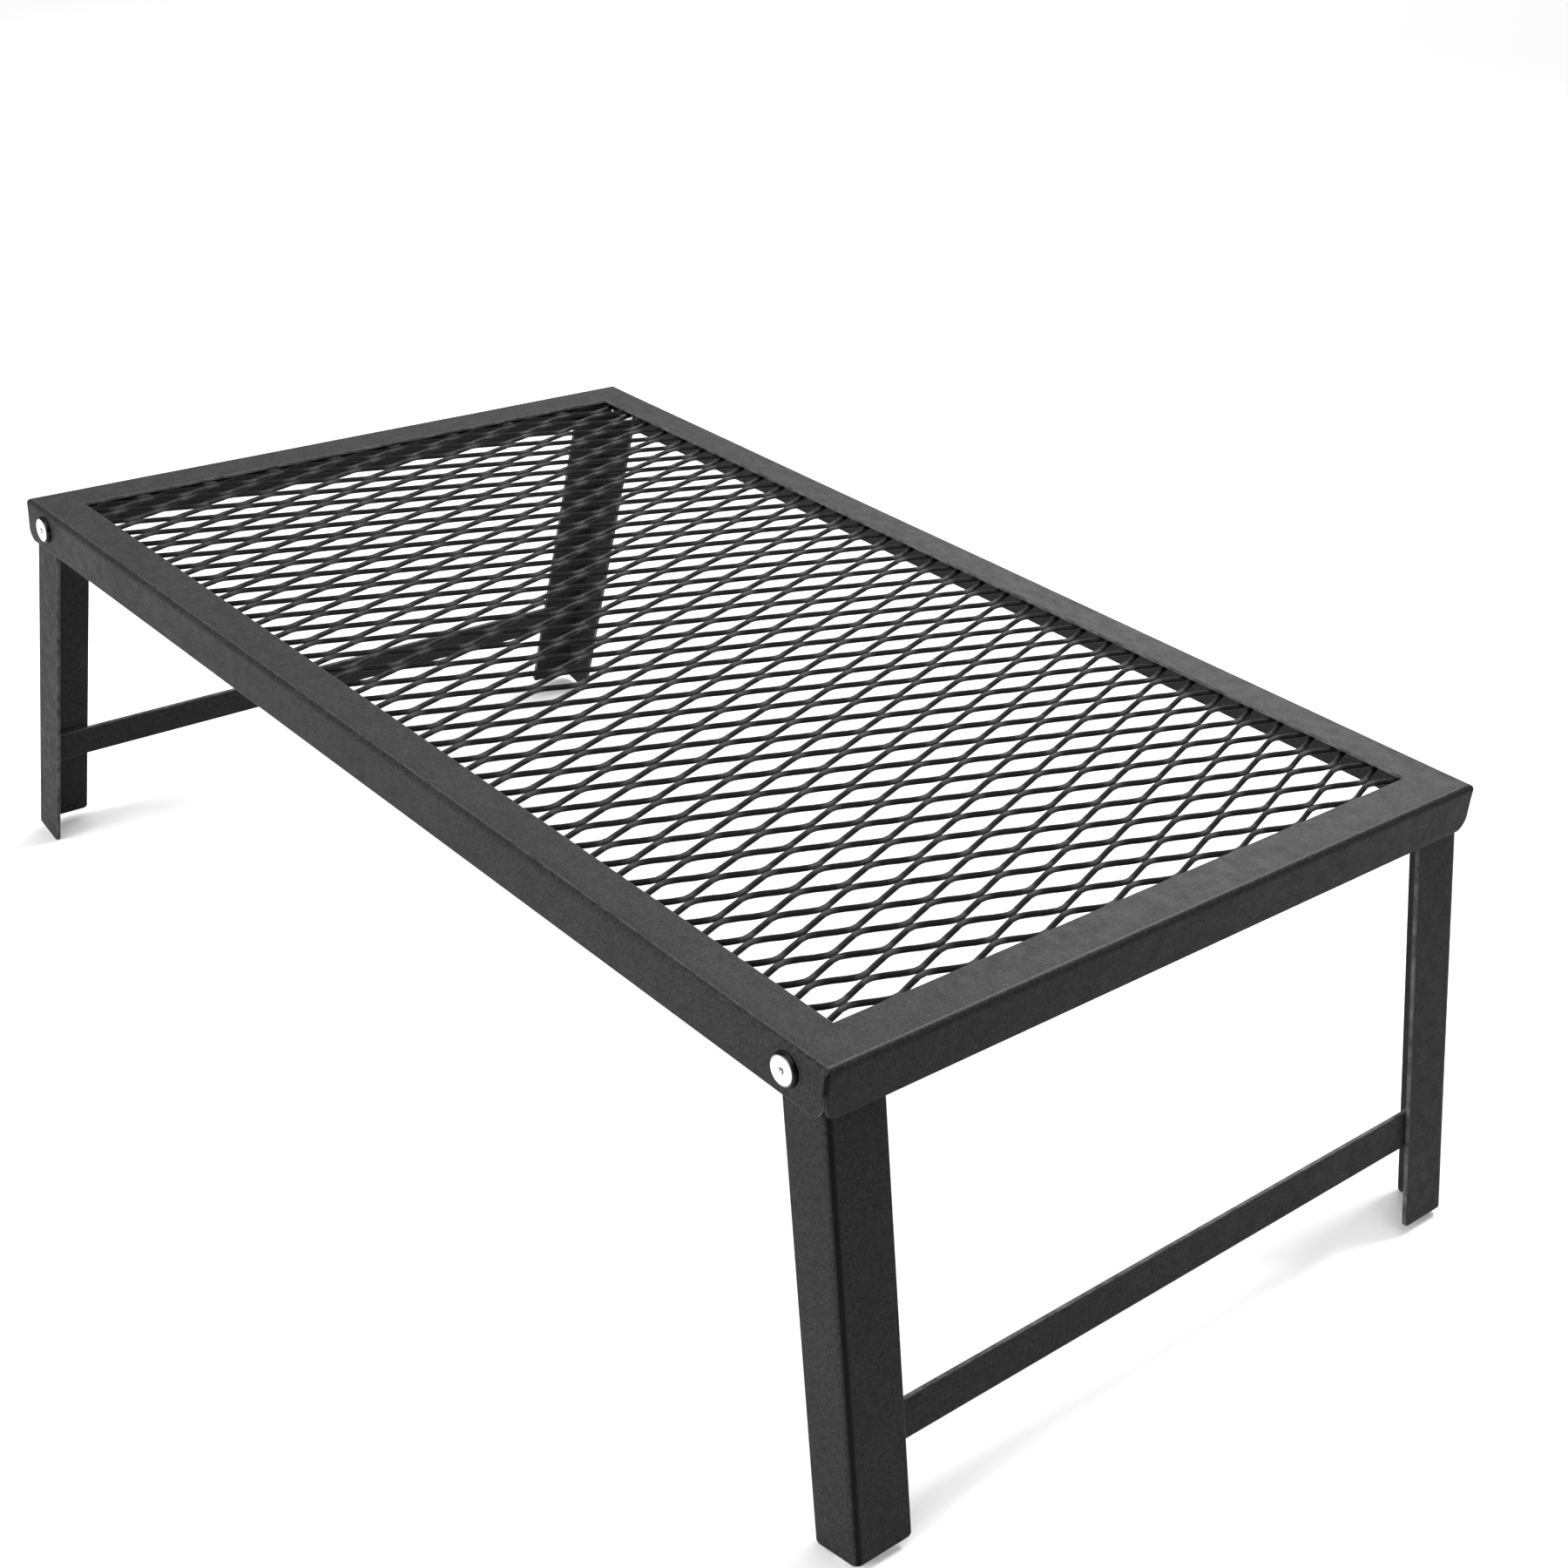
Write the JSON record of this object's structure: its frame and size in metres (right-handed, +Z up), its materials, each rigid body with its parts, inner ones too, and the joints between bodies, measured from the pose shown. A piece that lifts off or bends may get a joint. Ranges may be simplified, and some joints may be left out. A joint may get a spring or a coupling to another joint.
{
  "type": "folding camp grill",
  "caption": "Free-standing grate for cooking over an open fire: a black angle-steel frame holding expanded metal, on two splayed leg sets that fold flat beneath it.",
  "frame": {"origin": "on the floor under the middle of the grate, with both leg sets open", "axes": "+X along the length of the grate, +Y to the rear long side, +Z up"},
  "size_m": [0.6384, 0.349, 0.1923],
  "materials": {
    "frame_steel": "black powder coat, satin, fine texture",
    "leg_steel": "black powder coat, satin, fine texture",
    "grate_steel": "black high-temperature coat, satin",
    "painted_weld": "black powder coat over weld bead",
    "bright_rivet": "bright plated steel",
    "zinc_washer": "zinc plated steel"
  },
  "bodies": {
    "frame": {"front_long_rail": "frame_steel", "rear_long_rail": "frame_steel", "left_end_rail": "frame_steel", "right_end_rail": "frame_steel", "corner_welds": "painted_weld", "mesh_panel": "grate_steel", "mesh_welds": "painted_weld", "left_front_rivet": "bright_rivet", "left_front_spacer_washer": "zinc_washer", "left_front_tail_washer": "zinc_washer", "left_rear_rivet": "bright_rivet", "left_rear_spacer_washer": "zinc_washer", "left_rear_tail_washer": "zinc_washer", "right_front_rivet": "bright_rivet", "right_front_spacer_washer": "zinc_washer", "right_front_tail_washer": "zinc_washer", "right_rear_rivet": "bright_rivet", "right_rear_spacer_washer": "zinc_washer", "right_rear_tail_washer": "zinc_washer"},
    "left_leg_set": {"left_front_leg": "leg_steel", "left_rear_leg": "leg_steel", "left_crossbar": "leg_steel", "left_crossbar_welds": "painted_weld"},
    "right_leg_set": {"right_front_leg": "leg_steel", "right_rear_leg": "leg_steel", "right_crossbar": "leg_steel", "right_crossbar_welds": "painted_weld"}
  },
  "joints": [
    {"name": "left_leg_fold", "type": "hinge", "parent": "frame", "child": "left_leg_set", "pos_m": [-0.266, 0, 0.18283], "axis": [0, -1, 0], "range_deg": [0, 102]},
    {"name": "right_leg_fold", "type": "hinge", "parent": "frame", "child": "right_leg_set", "pos_m": [0.266, 0, 0.18283], "axis": [0, 1, 0], "range_deg": [0, 102]}
  ]
}
